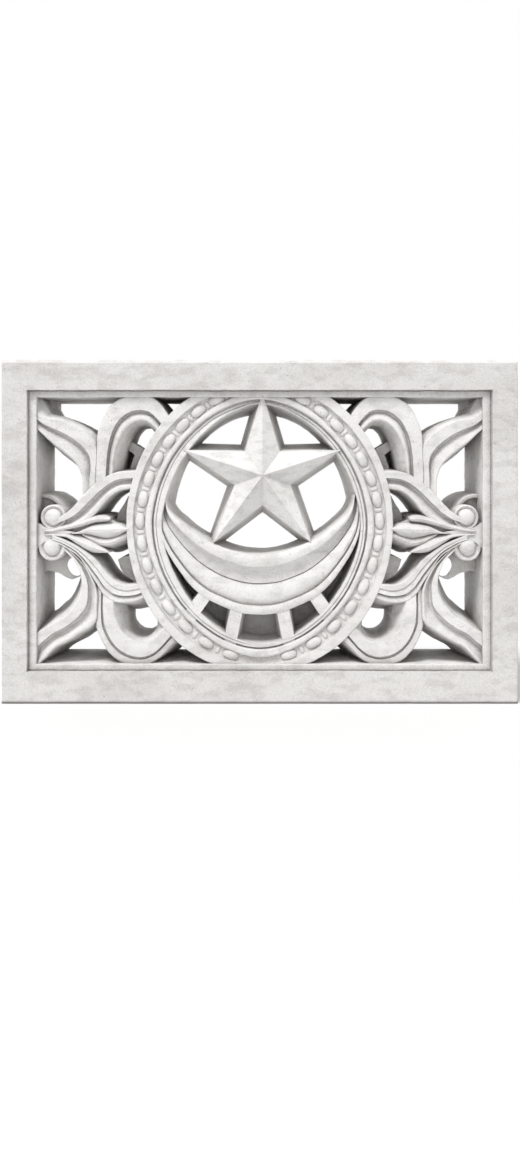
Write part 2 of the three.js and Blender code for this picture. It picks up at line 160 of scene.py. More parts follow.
UPPER_STEM = [
    [[140, 270.3], [140, 249.2]],
    [[154.1, 269.9], [154.1, 249.2]],
    [[165.8, 269.1], [165.2, 246.9]],
    [[176.4, 265.6], [175.2, 240.4]],
    [[188, 258.6], [182.7, 232.3]],
    [[199.7, 249.2], [190.4, 222.3]],
    [[207.9, 241], [198.6, 214.1]],
    [[215.5, 231.7], [207.9, 208.3]],
    [[223.7, 223.5], [219.6, 203.6]],
    [[232.5, 217.6], [231.3, 200.7]],
    [[243, 213], [243, 199]],
]
LOWER_STEM = [
    [[243, 196], [243, 186]],
    [[230.5, 190.9], [234.4, 184]],
    [[218.8, 185.7], [217.5, 174]],
    [[210, 180.5], [209.8, 166.5]],
    [[200.7, 174], [204.5, 158]],
    [[194.5, 169], [198.1, 148]],
    [[189, 163.6], [192.8, 140]],
    [[183.4, 156.5], [187.7, 132]],
    [[178.6, 150.6], [182.4, 124.5]],
    [[170.7, 142.5], [171, 117]],
    [[160.3, 137.5], [158, 115.9]],
    [[149.9, 137.5], [144, 118]],
    [[139, 139.5], [130, 124]],
]
LOWER_LEAF = [
    [[265, 79.6], [265, 35.2]],
    [[254.7, 84.9], [253, 49.2]],
    [[245.4, 90.7], [239.5, 63.3]],
    [[233.7, 96.6], [224.3, 71.5]],
    [[224.3, 104.2], [211.4, 79.6]],
    [[216.1, 114.7], [200.9, 85.5]],
    [[210.9, 125.3], [191.6, 94.8]],
    [[208.8, 135.8], [190.4, 111.2]],
    [[209.2, 146], [190.4, 129]],
    [[212.4, 156], [196.5, 145]],
    [[217, 164.6], [204, 158]],
    [[226, 174.5], [216, 171]],
    [[238, 185], [231, 186]],
]
LOWER_LOBE = [
    [[191, 141], [171.7, 130]],
    [[192.1, 119.4], [171.1, 115]],
    [[192.1, 101.9], [170.5, 105.4]],
    [[191.6, 86.7], [167, 94]],
    [[185.7, 71.4], [163.8, 86]],
    [[177.5, 58], [159, 79.8]],
    [[167, 48], [152.5, 75]],
    [[154.1, 42.2], [145, 71.5]],
    [[140.1, 41], [136.6, 69.9]],
    [[127.2, 44.6], [128.4, 71.3]],
    [[116.7, 52.1], [121.4, 75.5]],
    [[107.4, 61.5], [116.7, 81]],
    [[96.8, 72.6], [112, 88]],
]

# Cross-section of each element: (place across from the first edge (0) to the second (1), drop)
UPPER_LEAF_PROFILE = [
    (0, 1.2), (0.04, 0), (0.42, 0.2), (0.45, 6), (0.52, 6.5), (0.68, 3.6), (0.86, 1), (0.95, 0.6), (1, 1.8),
]
UPPER_LOBE_PROFILE = [
    (0, 1.4), (0.05, 0.2), (0.3, 0), (0.6, 0.3), (0.63, 6), (0.68, 6.4), (0.8, 3), (0.88, 1.6), (0.96, 1.5),
    (1, 2.2),
]
UPPER_STEM_PROFILE = [
    (0, 1.2), (0.05, 0), (0.39, 0.2), (0.42, 6), (0.5, 6.8), (0.66, 5), (0.76, 2), (0.84, 0.9), (0.95, 1.2),
    (1, 2.4),
]
LOWER_STEM_PROFILE = [
    (0, 1.4), (0.05, 0), (0.3, 0.2), (0.36, 1.7), (0.42, 1.1), (0.62, 0.7), (0.655, 5), (0.7, 3.6),
    (0.82, 2.2), (0.95, 2.2), (1, 3.4),
]
LOWER_LEAF_PROFILE = [
    (0, 1.2), (0.05, 0), (0.4, 0.2), (0.43, 6), (0.52, 7), (0.68, 5.4), (0.8, 2.6), (0.88, 0.6), (0.95, 0.6),
    (1, 1.8),
]
LOWER_LOBE_PROFILE = [
    (0, 4.5), (0.06, 2.8), (0.28, 1.4), (0.31, 4.6), (0.36, 4), (0.41, 0.7), (0.6, 0.5), (0.95, 0.6),
    (1, 1.4),
]
SEPAL_PROFILE = [(0, 7), (0.1, 3), (0.3, 0.6), (0.55, 0), (0.8, 1.4), (0.93, 3.6), (1, 7)]
BULB_PROFILE = [
    (0, 8), (0.07, 3.6), (0.2, 0.6), (0.4, -1.5), (0.62, -1), (0.82, 1.6), (0.94, 4.4), (1, 8),
]
PLAIN_PROFILE = [(0, 0), (1, 0)]

# A band narrower than this is carved less deeply
NARROW = 8

# How far each side wall leans out from the front to the back, from the start of the element to its end
UPPER_LEAF_LEAN = ([26, 7.5, 5, 5, 5.5, 6, 6, 5, 5, 5], 13.5)
UPPER_LOBE_LEAN = (5.5, [8, 8, 9.5, 9.5, 8, 6, 5, 5, 5, 5, 5, 5])
UPPER_STEM_LEAN = ([8, 6, 5], [3, 3, 3, 4])
LOWER_STEM_LEAN = ([0, 0, 0, -1, -3, -3, -3], [3, 5, 8, 12, 18, 20, 20])
LOWER_LEAF_LEAN = (
    [12, 12, 13, 16, 20, 25, 28, 28, 27, 25.5, 22, 8, 0],
    [13.5, 13.5, 13, 12, 11, 9, 6, 3, 0],
)
LOWER_LOBE_LEAN = (16.5, [12, 12, 11, 9.5, 7.5, 4.5, 2, 1, 2, 5, 9, 13, 14])

# How far behind the front a wall comes to its full lean: above the upper leaf and inside both lobes
LEAF_LEDGE = 12
UPPER_LEDGE = 24
LOWER_LEDGE = 24

# Where one element dips under another, from its start to its end, and where its carving fades out
UPPER_LEAF_DIP = [0, 0, 0, 0, 0, 0, 0, 0, 0, 1.6]
LOWER_LEAF_DIP = [0, 0, 0, 0, 0, 0, 0, 0, 0, 0.5, 1.5, 4]
LOBE_DIP = [3.5, 1.2, 0, 0, 0, 0, 0, 0, 0, 0]
INNER_SEPAL_DIP = 1.8
UPPER_LEAF_STRENGTH = [0.6, 1, 1, 1, 1, 1, 1, 1, 0.7, 0.1]
LOWER_STEM_STRENGTH = [0.2, 1, 1, 1, 1]
LOWER_LEAF_STRENGTH = [1, 1, 1, 0.7, 0.1]

# Calyx between the two volutes: a bulb between sepals
UPPER_SEPAL = [
    [[253, 200.5], [253, 199.5]],
    [[243, 203], [243, 198.5]],
    [[232.7, 206.3], [232.7, 199.6]],
    [[220, 210.4], [220, 201.5]],
    [[207.7, 214.6], [207.7, 204.7]],
    [[199, 217.4], [199, 207.3]],
    [[190, 218.8], [190, 209.4]],
    [[181, 218.2], [181, 210.3]],
    [[175.5, 215.5], [175.5, 212.5]],
]
BULB = [
    [[219.5, 197.6], [219.5, 196.6]],
    [[212, 199.5], [212, 196.6]],
    [[205.6, 203], [205.6, 196]],
    [[198, 206.6], [198, 194.3]],
    [[188, 208.8], [188, 191.6]],
    [[178.7, 209.7], [178.7, 190.4]],
    [[170, 209.3], [170, 192]],
    [[163, 208], [163, 194.8]],
    [[156, 204.8], [156, 199.5]],
    [[150, 203], [150, 201]],
]
LOWER_SEPAL = [
    [[252, 196.4], [252, 195.2]],
    [[238, 196.8], [238, 193.8]],
    [[226, 196.8], [226, 191.5]],
    [[216, 196.2], [216, 184.5]],
    [[207.7, 194.2], [207.7, 178.8]],
    [[198, 189.6], [198, 174.6]],
    [[190, 185], [190, 173.8]],
    [[183, 180.4], [183, 174.2]],
    [[177, 175.6], [177, 174.6]],
]
INNER_SEPAL = [
    [[208, 197], [208, 195]],
    [[196, 195], [196, 186]],
    [[188, 193], [188, 182]],
    [[181, 192], [181, 180.6]],
    [[174, 193], [174, 182]],
    [[167.6, 195], [167.6, 185]],
    [[155, 200.5], [155, 189.8]],
    [[147, 203], [147, 192]],
]
INNER_SEPAL_LEAN = (1, 13)
SEPAL_LEAN = (1, 3)

# Bed behind the calyx: its depth and outline
CALYX_BED = (
    17,
    [[252, 201], [232, 205], [212, 212], [190, 217], [176, 213], [165, 206], [165, 196], [180, 184],
     [200, 178], [216, 186], [232, 194], [252, 196]],
)

# Volutes: a ball inside a raised rim beside each side rail, ([u, z], radius)
VOLUTES = [([242.2, 216], 14.8), ([243.8, 181], 16)]
VOLUTE_DROP = 2.2
VOLUTE_BALL_RADIUS = 10.2
VOLUTE_BALL_HEIGHT = 5.4
VOLUTE_GROOVE = 2
VOLUTE_ROOT = (
    10,
    [[264, 209], [250, 204], [236, 201.5], [216, 198.4], [236, 194.5], [252, 187], [264, 180]],
)

# Upper curl: a narrow rim from the side rail to the upper volute, over a deeper floor
UPPER_CURL = [
    [[265, 243.5], [265, 238.7]],
    [[257, 243], [257, 238.3]],
    [[250, 241.8], [251.5, 237.3]],
    [[243.2, 238.8], [246.5, 235]],
    [[237.2, 232.6], [241, 229.6]],
    [[233.4, 226.8], [237.8, 224.5]],
    [[231.3, 221.6], [235.6, 220]],
    [[230.5, 214], [235, 214]],
]
UPPER_CURL_LEAN = ([3, 3, 3, 3, 5, 5.5, 5.3, 5], 0)
UPPER_CURL_PROFILE = [(0, 1.3), (0.2, 0), (0.75, 0.3), (1, 1.6)]
UPPER_CURL_DROP = 22
CURL_FLOOR = (38, [[264, 241], [250, 239], [242, 233], [234, 220], [236, 205], [264, 205]])

# Deeper pieces: the depth of the front, its outline and, where the walls lean, the outline at the back
LOWER_CURL = (
    42,
    [[264, 151], [255, 150.5], [247.3, 148.7], [241.3, 146.9], [232.8, 142.1], [224, 140.3], [212, 150],
     [226, 174], [264, 182]],
)
CURL_EYE = (
    40,
    [[226.5, 166], [231.9, 158], [229.9, 151], [223.9, 145], [216, 146], [214, 158]],
    [[238.7, 161.5], [244.3, 152.6], [242.3, 145.4], [235.9, 138.5], [226, 140], [224, 158]],
)
RING_WEDGE = (
    45,
    [[146, 243], [158, 241], [160.5, 238], [164.4, 230.8], [169.8, 222.3], [172.7, 213.8], [174, 204],
     [146, 204]],
)
RING_BUD = (
    40,
    [[146, 172], [158.5, 168.7], [169.8, 164.7], [169.8, 160.7], [167.2, 152.7], [163.8, 147.4], [154.4, 140],
     [146, 136]],
)
CORNER_BLOCK = (45, [[264, 325], [252.3, 325], [252.3, 358], [264, 358]])
LOBE_WEB = (82, [[170, 255], [170, 300], [157, 303], [147.5, 298], [138, 290], [138, 255]])
LOBE_BRIDGE = (
    45,
    [[172, 306], [156, 306], [149, 302.2], [140.4, 297.1], [138, 290], [138, 262], [157, 262], [156.6, 272.9],
     [153.1, 286.1], [151.5, 290.1], [160.1, 296.6], [172, 300]],
)

# Fineness of the carving: counts of steps, the spacing of points along a rail, the distance under which
# points merge, and the bend in degrees from which an edge is a sharp one
LEAF_STEPS = 72
SHORT_STEPS = 36
CRESCENT_STEPS = 140
RING_STEPS = 280
ROUND_SEGMENTS = 40
BALL_ROWS = 20
CURVE_STEPS = 6
RAIL_STEP = 4
MERGE_DISTANCE = 0.01
CREASE_ANGLE = 28

# Unevenness of the cast edges: (size of the waves, their height), the share of it that goes into depth, and
# the seed that makes it the same each run
WAVES = [(22, 0.35), (5, 0.3)]
DEPTH_SHARE = 0.3
WAVE_SEED = 1

# The stone's colour and gloss. Dark marks and painted shade lean towards brown: a grey is raised to these
# powers in red, green and blue.
STONE_COLOUR = (0.785, 0.775, 0.762, 1)
STONE_ROUGHNESS = 0.92
STONE_SHINE = 0.25
BROWN_LEAN = (1, 1.04, 1.08)

# The stone's marks, as the size of their patches in metres. The smear draws blotches and mottling out
# lengthwise.
BLOTCH_SIZE = 0.06
MOTTLING_SIZE = 0.009
GRAIN_SIZE = 0.0013
GRIT_SIZE = 0.0026
PITTING_SIZE = 0.0022
CLOSED_SKIN_SIZE = 0.03
HOLE_SPACING = 0.006
SMEAR = 0.5

# How strongly the pitting and the holes bend the light, with their depth in metres
PITTING_BUMP = (0.35, 0.0006)
HOLE_BUMP = (0.6, 0.0008)

# Painted shade: how far it reaches out of creases, out of recesses and up from the bed, in metres
CREASE_REACH = 0.007
RECESS_REACH = 0.02
BED_SHADOW = 0.0025

# Painted shade: the outer face is a little darker than the carving: how much is left there, and the depths it
# fades over
FACE_SHADE = 0.87
FACE_SHADE_DEPTHS = (0.002, 0.005)

# Studio: the key light's bearing, height and softness in degrees and its strength, the room's strength, and
# the floor's reach in metres and its colour
KEY_LIGHT = (-32, 60, 18, 2.6)
ROOM_LIGHT = 0.74
FLOOR_REACH = 6
FLOOR_COLOUR = (0.71, 0.71, 0.71, 1)

# The photo in pixels: its size, the camera's axis, and its scale at the panel's face in pixels a millimetre
PHOTO_WIDTH = 520
PHOTO_HEIGHT = 1156
PHOTO_AXIS = (259.7, 482)
PHOTO_SCALE = 0.8617

# Camera: its distance from the panel's face and its height above the bed
CAMERA_DISTANCE = 1036
CAMERA_HEIGHT = 257.4
SENSOR = 36


# Meshes of the carving

def place(u, z, depth):
    """A place on the panel, at a depth, as a point in Blender's metres."""
    return (u * MM, (depth - PANEL_THICKNESS / 2) * MM, z * MM)


def solid(name, points, faces):
    """A closed mesh object with its faces turned outwards."""
    mesh = bpy.data.meshes.new(name)
    mesh.from_pydata(points, [], faces)
    shell = bmesh.new()
    shell.from_mesh(mesh)
    bmesh.ops.remove_doubles(shell, verts=shell.verts, dist=MERGE_DISTANCE * MM)
    bmesh.ops.triangulate(shell, faces=shell.faces)
    bmesh.ops.recalc_face_normals(shell, faces=shell.faces)
    shell.to_mesh(mesh)
    shell.free()
    made = bpy.data.objects.new(name, mesh)
    bpy.context.scene.collection.objects.link(made)
    return made


def loft(name, sections, joined=False):
    """Skin over a row of sections. With joined the last meets the first, otherwise both ends are capped."""
    count = len(sections[0])
    rows = len(sections)
    faces = []
    for i in range(rows if joined else rows - 1):
        near = i * count
        far = (i + 1) % rows * count
        for k in range(count):
            after = (k + 1) % count
            faces.append((near + k, near + after, far + after, far + k))
    if not joined:
        last = (rows - 1) * count
        for k in range(1, count - 1):
            faces.append((0, k + 1, k))
            faces.append((last, last + k, last + k + 1))
    points = [point for section in sections for point in section]
    return solid(name, points, faces)


def block(name, piece, far_depth=BACK):
    """Block with any outline, from a depth to the back, where it may have an outline of its own."""
    depth, near = piece[:2]
    far = piece[-1]
    count = len(near)
    points = [place(u, z, depth) for u, z in near]
    points += [place(u, z, far_depth) for u, z in far]
    faces = [tuple(range(count)), tuple(range(count, 2 * count))]
    for k in range(count):
        after = (k + 1) % count
        faces.append((k, after, after + count, k + count))
    return solid(name, points, faces)


def settle(piece):
    """Makes the piece's modifiers part of its mesh."""
    depsgraph = bpy.context.evaluated_depsgraph_get()
    mesh = bpy.data.meshes.new_from_object(piece.evaluated_get(depsgraph))
    piece.modifiers.clear()
    piece.data = mesh


def carve(piece, tool, operation):
    """Cuts the piece with the tool, joins the two or keeps what they share."""
    change = piece.modifiers.new("carve", "BOOLEAN")
    change.operation = operation
    change.solver = "MANIFOLD"
    change.object = tool
    settle(piece)
    return piece


def spline(points, t):
    """Point at t (0 to 1) of a smooth curve through the points."""
    at = t * (len(points) - 1)
    i = min(int(at), len(points) - 2)
    s = at - i
    before = points[max(i - 1, 0)]
    start = points[i]
    end = points[i + 1]
    after = points[min(i + 2, len(points) - 1)]
    leave = (end - before) / 2
    arrive = (after - start) / 2
    bend = 2 * start - 2 * end + leave + arrive
    return bend * s ** 3 + (3 * end - 3 * start - 2 * leave - arrive) * s ** 2 + leave * s + start


def rounded(outline):
    """Closed smooth outline through the corners of another."""
    corners = np.array(outline, float)
    count = len(corners)
    points = []
    for i in range(count):
        four = [corners[(i + k) % count] for k in (-1, 0, 1, 2)]
        points += [list(spline(four, (1 + k / CURVE_STEPS) / 3)) for k in range(CURVE_STEPS)]
    return points


def along(values, t):
    """The value at t (0 to 1) along a list, or the value itself when it isn't a list."""
    if not isinstance(values, list):
        return values
    return float(np.interp(t * (len(values) - 1), range(len(values)), values))


def band(name, stations, profile, steps=LEAF_STEPS, lean=(0, 0), drop=0, ledges=(0, 0), strength=1):
    """Carved band between two edges. The walls run to the back and lean out; a ledge brings a wall to its
    full lean that far behind the front. Narrow places are carved less deeply."""
    edges = np.array(stations, float)
    sections = []
    for i in range(steps + 1):
        t = i / steps
        first = spline(edges[:, 0], t)
        second = spline(edges[:, 1], t)
        width = np.linalg.norm(second - first)
        across = (second - first) / width
        first_back = first - across * along(lean[0], t)
        second_back = second + across * along(lean[1], t)
        carving = along(strength, t) * min(1, width / NARROW)
        section = [place(*((first + second) / 2), BACK), place(*first_back, BACK)]
        if ledges[0]:
            section.append(place(*first_back, FRONT + ledges[0]))
        front = FRONT + along(drop, t)
        for share, fall in profile:
            section.append(place(*(first + (second - first) * share), front + fall * carving))
        if ledges[1]:
            section.append(place(*second_back, FRONT + ledges[1]))
        section.append(place(*second_back, BACK))
        sections.append(section)
    return loft(name, sections)


def rectangle(half, low, top, depth):
    """Rectangle with points along its sides, the same number for every size."""
    corners = [(-half, low), (half, low), (half, top), (-half, top)]
    points = []
    for i in range(4):
        u, z = corners[i]
        next_u, next_z = corners[(i + 1) % 4]
        count = round((PANEL_HEIGHT if i % 2 else PANEL_WIDTH) / RAIL_STEP)
        for k in range(count):
            share = k / count
            points.append(place(u + (next_u - u) * share, z + (next_z - z) * share, depth))
    return points


def outer_rectangle(inset, depth, top_inset=None):
    """Rectangle around the panel, inset from its sides and bottom and from its top."""
    top = PANEL_HEIGHT - (inset if top_inset is None else top_inset)
    return rectangle(PANEL_WIDTH / 2 - inset, inset, top, depth)


def inner_rectangle(share, depth):
    """Rectangle in the opening, a share of the way from the face's inner edge across the fillet."""
    half = PANEL_WIDTH / 2 - SIDE_RAIL - SIDE_FILLET * share
    low = BOTTOM_RAIL + END_FILLET * share
    top = PANEL_HEIGHT - TOP_RAIL - END_FILLET * share
    return rectangle(half, low, top, depth)


def make_frame():
    """Frame round the opening: plain rails, a thin groove, the fillet and straight inner walls."""
    return loft("rails", [
        outer_rectangle(ARRIS, BACK),
        outer_rectangle(0, BACK - ARRIS),
        outer_rectangle(0, TOP_BEVEL, 0),
        outer_rectangle(0, ARRIS, TOP_BEVEL - ARRIS),
        outer_rectangle(ARRIS, 0, TOP_BEVEL),
        inner_rectangle(0, 0),
        inner_rectangle(0.02, FILLET_DEPTH + FILLET_GROOVE * 2 / 3),
        inner_rectangle(0.08, FILLET_DEPTH + FILLET_GROOVE),
        inner_rectangle(0.16, FILLET_DEPTH + FILLET_GROOVE / 6),
        inner_rectangle(0.25, FILLET_DEPTH),
        inner_rectangle(0.93, FILLET_DEPTH),
        inner_rectangle(1, FILLET_DEPTH + FILLET_ROUNDING),
        inner_rectangle(1, BACK),
    ], True)


def oval(line, angle, inward=0):
    """Point of one of the ring's lines in a direction from the ring's centre."""
    half_width, half_height, roundness = line
    across = abs(math.cos(angle)) / (half_width - inward)
    up = abs(math.sin(angle)) / (half_height - inward)
    radius = (across ** roundness + up ** roundness) ** (-1 / roundness)
    return radius * math.cos(angle), RING_CENTRE + radius * math.sin(angle)


def turns(count):
    """Angles of a full turn in equal steps."""
    return [i / count * 2 * math.pi for i in range(count)]


def make_ring():
    """Oval ring: rounded edge, channel for the beads, rib, crease, and a lip with a cove and a fine line."""
    lip = FRONT + LIP_DROP

    # The ring's cross-section: (line, how far inside it, depth, cove in the upper half, shift to the right)
    lines = [
        (RING_OUTER, -RING_OUTER_FLARE, BACK, 0, 0),
        (RING_OUTER, 0, FRONT + RING_ROUNDING, 0, 0),
        (RING_OUTER, 1, FRONT, 0, 0),
        (RING_GROOVE, -1.2, FRONT + 0.2, 0, 0),
        (RING_GROOVE, 0.2, FRONT + CHANNEL_DEPTH - 0.6, 0, 0),
        (RING_GROOVE, 1.6, FRONT + CHANNEL_DEPTH, 0, 0),
        (RING_CHANNEL, -1.6, FRONT + CHANNEL_DEPTH, 0, 0),
        (RING_CHANNEL, 0, FRONT + RING_ROUNDING, 0, 0),
        (RING_CHANNEL, 1.6, FRONT, 0, 0),
        (RING_CREASE, -2, FRONT, 0, 0),
        (RING_CREASE, -0.6, FRONT + RING_ROUNDING, 0, 0),
        (RING_CREASE, 0.2, FRONT + CREASE_DEPTH, 0, 0),
        (RING_CREASE, 1, FRONT + CREASE_DEPTH, 0, 0),
        (RING_CREASE, 2, lip, LIP_COVE, 0),
        (RING_CREASE, 4.2, lip, LIP_COVE, 0),
        (RING_CREASE, 4.7, lip + LIP_LINE, LIP_COVE, 0),
        (RING_CREASE, 5.2, lip, LIP_COVE, 0),
        (RING_LIP, -1, lip, 0, RING_OPENING_SHIFT),
        (RING_LIP, 0, lip + RING_ROUNDING, 0, RING_OPENING_SHIFT),
        (RING_BACK, 0, BACK, 0, RING_OPENING_SHIFT),
    ]
    sections = []
    for angle in turns(RING_STEPS):
        upper_half = max(0, math.sin(angle))
        section = []
        for line, inward, depth, cove, shift in lines:
            u, z = oval(line, angle, inward)
            section.append(place(u + shift, z, depth + cove * upper_half))
        sections.append(section)
    return loft("ring", sections, True)


def bead(centre, slope, size):
    """Blunt, slightly squared bead, turned in the plane of the face."""
    length, height, width = size
    shell = bmesh.new()
    bmesh.ops.create_uvsphere(shell, u_segments=ROUND_SEGMENTS, v_segments=BALL_ROWS, radius=1)
    cos = math.cos(slope)
    sin = math.sin(slope)
    floor = FRONT + CHANNEL_DEPTH + BEAD_SINK
    points = []
    for vert in shell.verts:
        angle = math.atan2(vert.co.z, vert.co.x)
        swell = abs(math.cos(angle)) ** BEAD_SQUARENESS + abs(math.sin(angle)) ** BEAD_SQUARENESS
        swell **= -1 / BEAD_SQUARENESS
        x = vert.co.x * swell * length / 2
        z = vert.co.z * swell * width / 2
        u_here = centre[0] + x * cos - z * sin
        z_here = centre[1] + x * sin + z * cos
        points.append(place(u_here, z_here, floor + vert.co.y * height))
    faces = [tuple(vert.index for vert in face.verts) for face in shell.faces]
    shell.free()
    return solid("bead", points, faces)


def make_beads():
    """Beads along the ring's channel, with a narrow reel between each two."""
    bead_size = (BEAD_LENGTH, BEAD_HEIGHT, BEAD_WIDTH)
    reel_size = (REEL_LENGTH, REEL_HEIGHT, REEL_WIDTH)
    places = [(90, bead_size)]
    for k in range(-BEADS_BELOW, BEADS_ABOVE + 1):
        for count, size in ((k, bead_size), (k + 0.5, reel_size)):
            angle = BEAD_FIRST + BEAD_TURN * count - BEAD_CROWDING * count * count
            places += [(angle, size), (180 - angle, size)]
    beads = []
    for angle, size in places:
        outer = oval(RING_GROOVE, angle * DEGREE)
        inner = oval(RING_CHANNEL, angle * DEGREE)
        ahead = oval(RING_GROOVE, (angle + 1) * DEGREE)
        slope = math.atan2(ahead[1] - outer[1], ahead[0] - outer[0])
        beads.append(bead(((outer[0] + inner[0]) / 2, (outer[1] + inner[1]) / 2), slope, size))
    return beads


def make_star():
    """Faceted star: a ridge runs from the peak to every tip and a valley to every waist."""
    half = math.pi / STAR_POINTS
    chord = math.hypot(STAR_RADIUS - STAR_WAIST * math.cos(half), STAR_WAIST * math.sin(half))
    edge_distance = STAR_RADIUS * STAR_WAIST * math.sin(half) / chord
    growth = (edge_distance + STAR_FLARE) / edge_distance
    corners = STAR_POINTS * 2
    points = [place(*STAR_CENTRE, STAR_PEAK_DEPTH)]
    for i in range(corners * 2):
        at_back = i >= corners
        at_waist = i % 2 == 1
        angle = math.pi / 2 + half * i
        radius = (STAR_WAIST if at_waist else STAR_RADIUS) * (growth if at_back else 1)
        shift = STAR_BACK_SHIFT if at_back else (0, 0)
        depth = STAR_WAIST_DEPTH if at_waist else STAR_TIP_DEPTH
        u = STAR_CENTRE[0] + shift[0] + radius * math.cos(angle)
        z = STAR_CENTRE[1] + shift[1] + radius * math.sin(angle)
        points.append(place(u, z, BACK if at_back else depth))
    points.append(place(*STAR_CENTRE, BACK))
    faces = []
    for i in range(corners):
        a = 1 + i
        b = 1 + (i + 1) % corners
        faces += [(0, a, b), (a, a + corners, b + corners, b), (len(points) - 1, b + corners, a + corners)]
    return solid("star", points, faces)


def make_crescent():
    """The crescent, and the web behind the spaces under it."""
    mirrored = [[[-u, z] for u, z in station] for station in CRESCENT_HALF[-2::-1]]
    stations = CRESCENT_HALF + mirrored
    web = []
    for upper, lower in stations:
        middle = [(upper[0] + lower[0]) / 2, (upper[1] + lower[1]) / 2]
        if middle[1] < WEB_TOP:
            web.append([middle, oval(RING_CREASE, math.atan2(lower[1] - RING_CENTRE, lower[0]))])
    return [
        band("crescent", stations, CRESCENT_PROFILE, CRESCENT_STEPS, CRESCENT_LEAN, CRESCENT_DIP),
        band("web", web, PLAIN_PROFILE, CRESCENT_STEPS, drop=WEB_DEPTH - FRONT),
    ]


def make_volute(centre, radius):
    """Turned body about an axis through the face: a ball, a groove round it and a soft rim."""
    rim = FRONT + VOLUTE_DROP
    groove = rim + VOLUTE_GROOVE
    profile = []
    for k in range(BALL_ROWS + 1):
        angle = k / BALL_ROWS * math.pi / 2
        across = VOLUTE_BALL_RADIUS * math.sin(angle)
        profile.append((across, groove - VOLUTE_BALL_HEIGHT * math.cos(angle)))
    middle = (VOLUTE_BALL_RADIUS + radius) / 2

    # From the ball up out of the groove, over the rim's rounded edges and down to the back
    profile += [
        (VOLUTE_BALL_RADIUS + 0.6, groove - 0.2),
        (middle - 0.4, rim + 0.7),
        (middle + 0.6, rim),
        (radius - 1.2, rim),
        (radius, rim + 1.4),
        (radius, BACK),
        (0, BACK),
    ]
    sections = []
    for angle in turns(ROUND_SEGMENTS):
        cos = math.cos(angle)
        sin = math.sin(angle)
        sections.append([place(centre[0] + r * cos, centre[1] + r * sin, depth) for r, depth in profile])
    return loft("volute", sections, True)


def make_side(side, ring_body):
    """Everything on one side of the ring; side is 1 or -1."""

    def turned(outline):
        """The outline on this side."""
        return [[side * u, z] for u, z in outline]

    def leaf(name, stations, profile, lean, steps=LEAF_STEPS, **shape):
        """Band on this side, trimmed where it runs in under the ring."""
        made = band(name, [turned(station) for station in stations], profile, steps, lean, **shape)
        return carve(made, ring_body, "DIFFERENCE")

    def deep(name, piece, shaping=rounded):
        """Block on this side, with rounded corners unless the shaping is list."""
        return block(name, (piece[0], *[shaping(turned(outline)) for outline in piece[1:]]))

    eye = deep("eye", CURL_EYE)
    pieces = [
        leaf("upper_leaf", UPPER_LEAF, UPPER_LEAF_PROFILE, UPPER_LEAF_LEAN, ledges=(LEAF_LEDGE, 0),
             drop=UPPER_LEAF_DIP, strength=UPPER_LEAF_STRENGTH),
        leaf("upper_lobe", UPPER_LOBE, UPPER_LOBE_PROFILE, UPPER_LOBE_LEAN, ledges=(0, UPPER_LEDGE)),
        leaf("upper_stem", UPPER_STEM, UPPER_STEM_PROFILE, UPPER_STEM_LEAN),
        leaf("lower_stem", LOWER_STEM, LOWER_STEM_PROFILE, LOWER_STEM_LEAN, strength=LOWER_STEM_STRENGTH),
        leaf("lower_leaf", LOWER_LEAF, LOWER_LEAF_PROFILE, LOWER_LEAF_LEAN, drop=LOWER_LEAF_DIP,
             strength=LOWER_LEAF_STRENGTH),
        leaf("lower_lobe", LOWER_LOBE, LOWER_LOBE_PROFILE, LOWER_LOBE_LEAN, ledges=(0, LOWER_LEDGE),
             drop=LOBE_DIP),
        leaf("upper_sepal", UPPER_SEPAL, SEPAL_PROFILE, SEPAL_LEAN, SHORT_STEPS),
        leaf("lower_sepal", LOWER_SEPAL, SEPAL_PROFILE, SEPAL_LEAN, SHORT_STEPS),
        leaf("inner_sepal", INNER_SEPAL, SEPAL_PROFILE, INNER_SEPAL_LEAN, SHORT_STEPS,
             drop=INNER_SEPAL_DIP),
        leaf("bulb", BULB, BULB_PROFILE, SEPAL_LEAN, SHORT_STEPS),
        leaf("upper_curl", UPPER_CURL, UPPER_CURL_PROFILE, UPPER_CURL_LEAN, SHORT_STEPS,
             drop=UPPER_CURL_DROP),
        deep("calyx_bed", CALYX_BED),
        deep("volute_root", VOLUTE_ROOT),
        deep("curl_floor", CURL_FLOOR),
        carve(deep("lower_curl", LOWER_CURL), eye, "DIFFERENCE"),
        deep("ring_wedge", RING_WEDGE),
        deep("ring_bud", RING_BUD),
        deep("corner_block", CORNER_BLOCK, list),
        deep("lobe_web", LOBE_WEB),
        deep("lobe_bridge", LOBE_BRIDGE),
    ]
    bpy.data.objects.remove(eye)
    for (u, z), radius in VOLUTES:
        pieces.append(make_volute((side * u, z), radius))
    for plan, lean in zip(STRUT_PLANS, STRUT_LEANS):
        stations = [turned(station) for station in plan]
        pieces.append(band("strut", stations, PLAIN_PROFILE, 1, lean, STRUT_DEPTH - FRONT))
    return pieces


def make_carving():
    """The whole panel as one closed surface."""
    outline = [oval(RING_OUTER, angle, RING_OVERLAP) for angle in turns(RING_STEPS)]
    ring_body = block("ring_body", (0, outline), BACK + CUTTER_EXCESS)
    pieces = [make_ring(), carve(make_star(), ring_body, "INTERSECT")]
    pieces += make_beads()
    pieces += make_crescent()
    pieces += make_side(1, ring_body)
    pieces += make_side(-1, ring_body)
    bpy.data.objects.remove(ring_body)
    carving = make_frame()
    carving.name = "carved_panel"
    for piece in pieces:
        carve(carving, piece, "UNION")
        bpy.data.objects.remove(piece)
    weather(carving.data)
    carving.data.shade_smooth()
    carving.data.set_sharp_from_angle(angle=CREASE_ANGLE * DEGREE)
    return carving


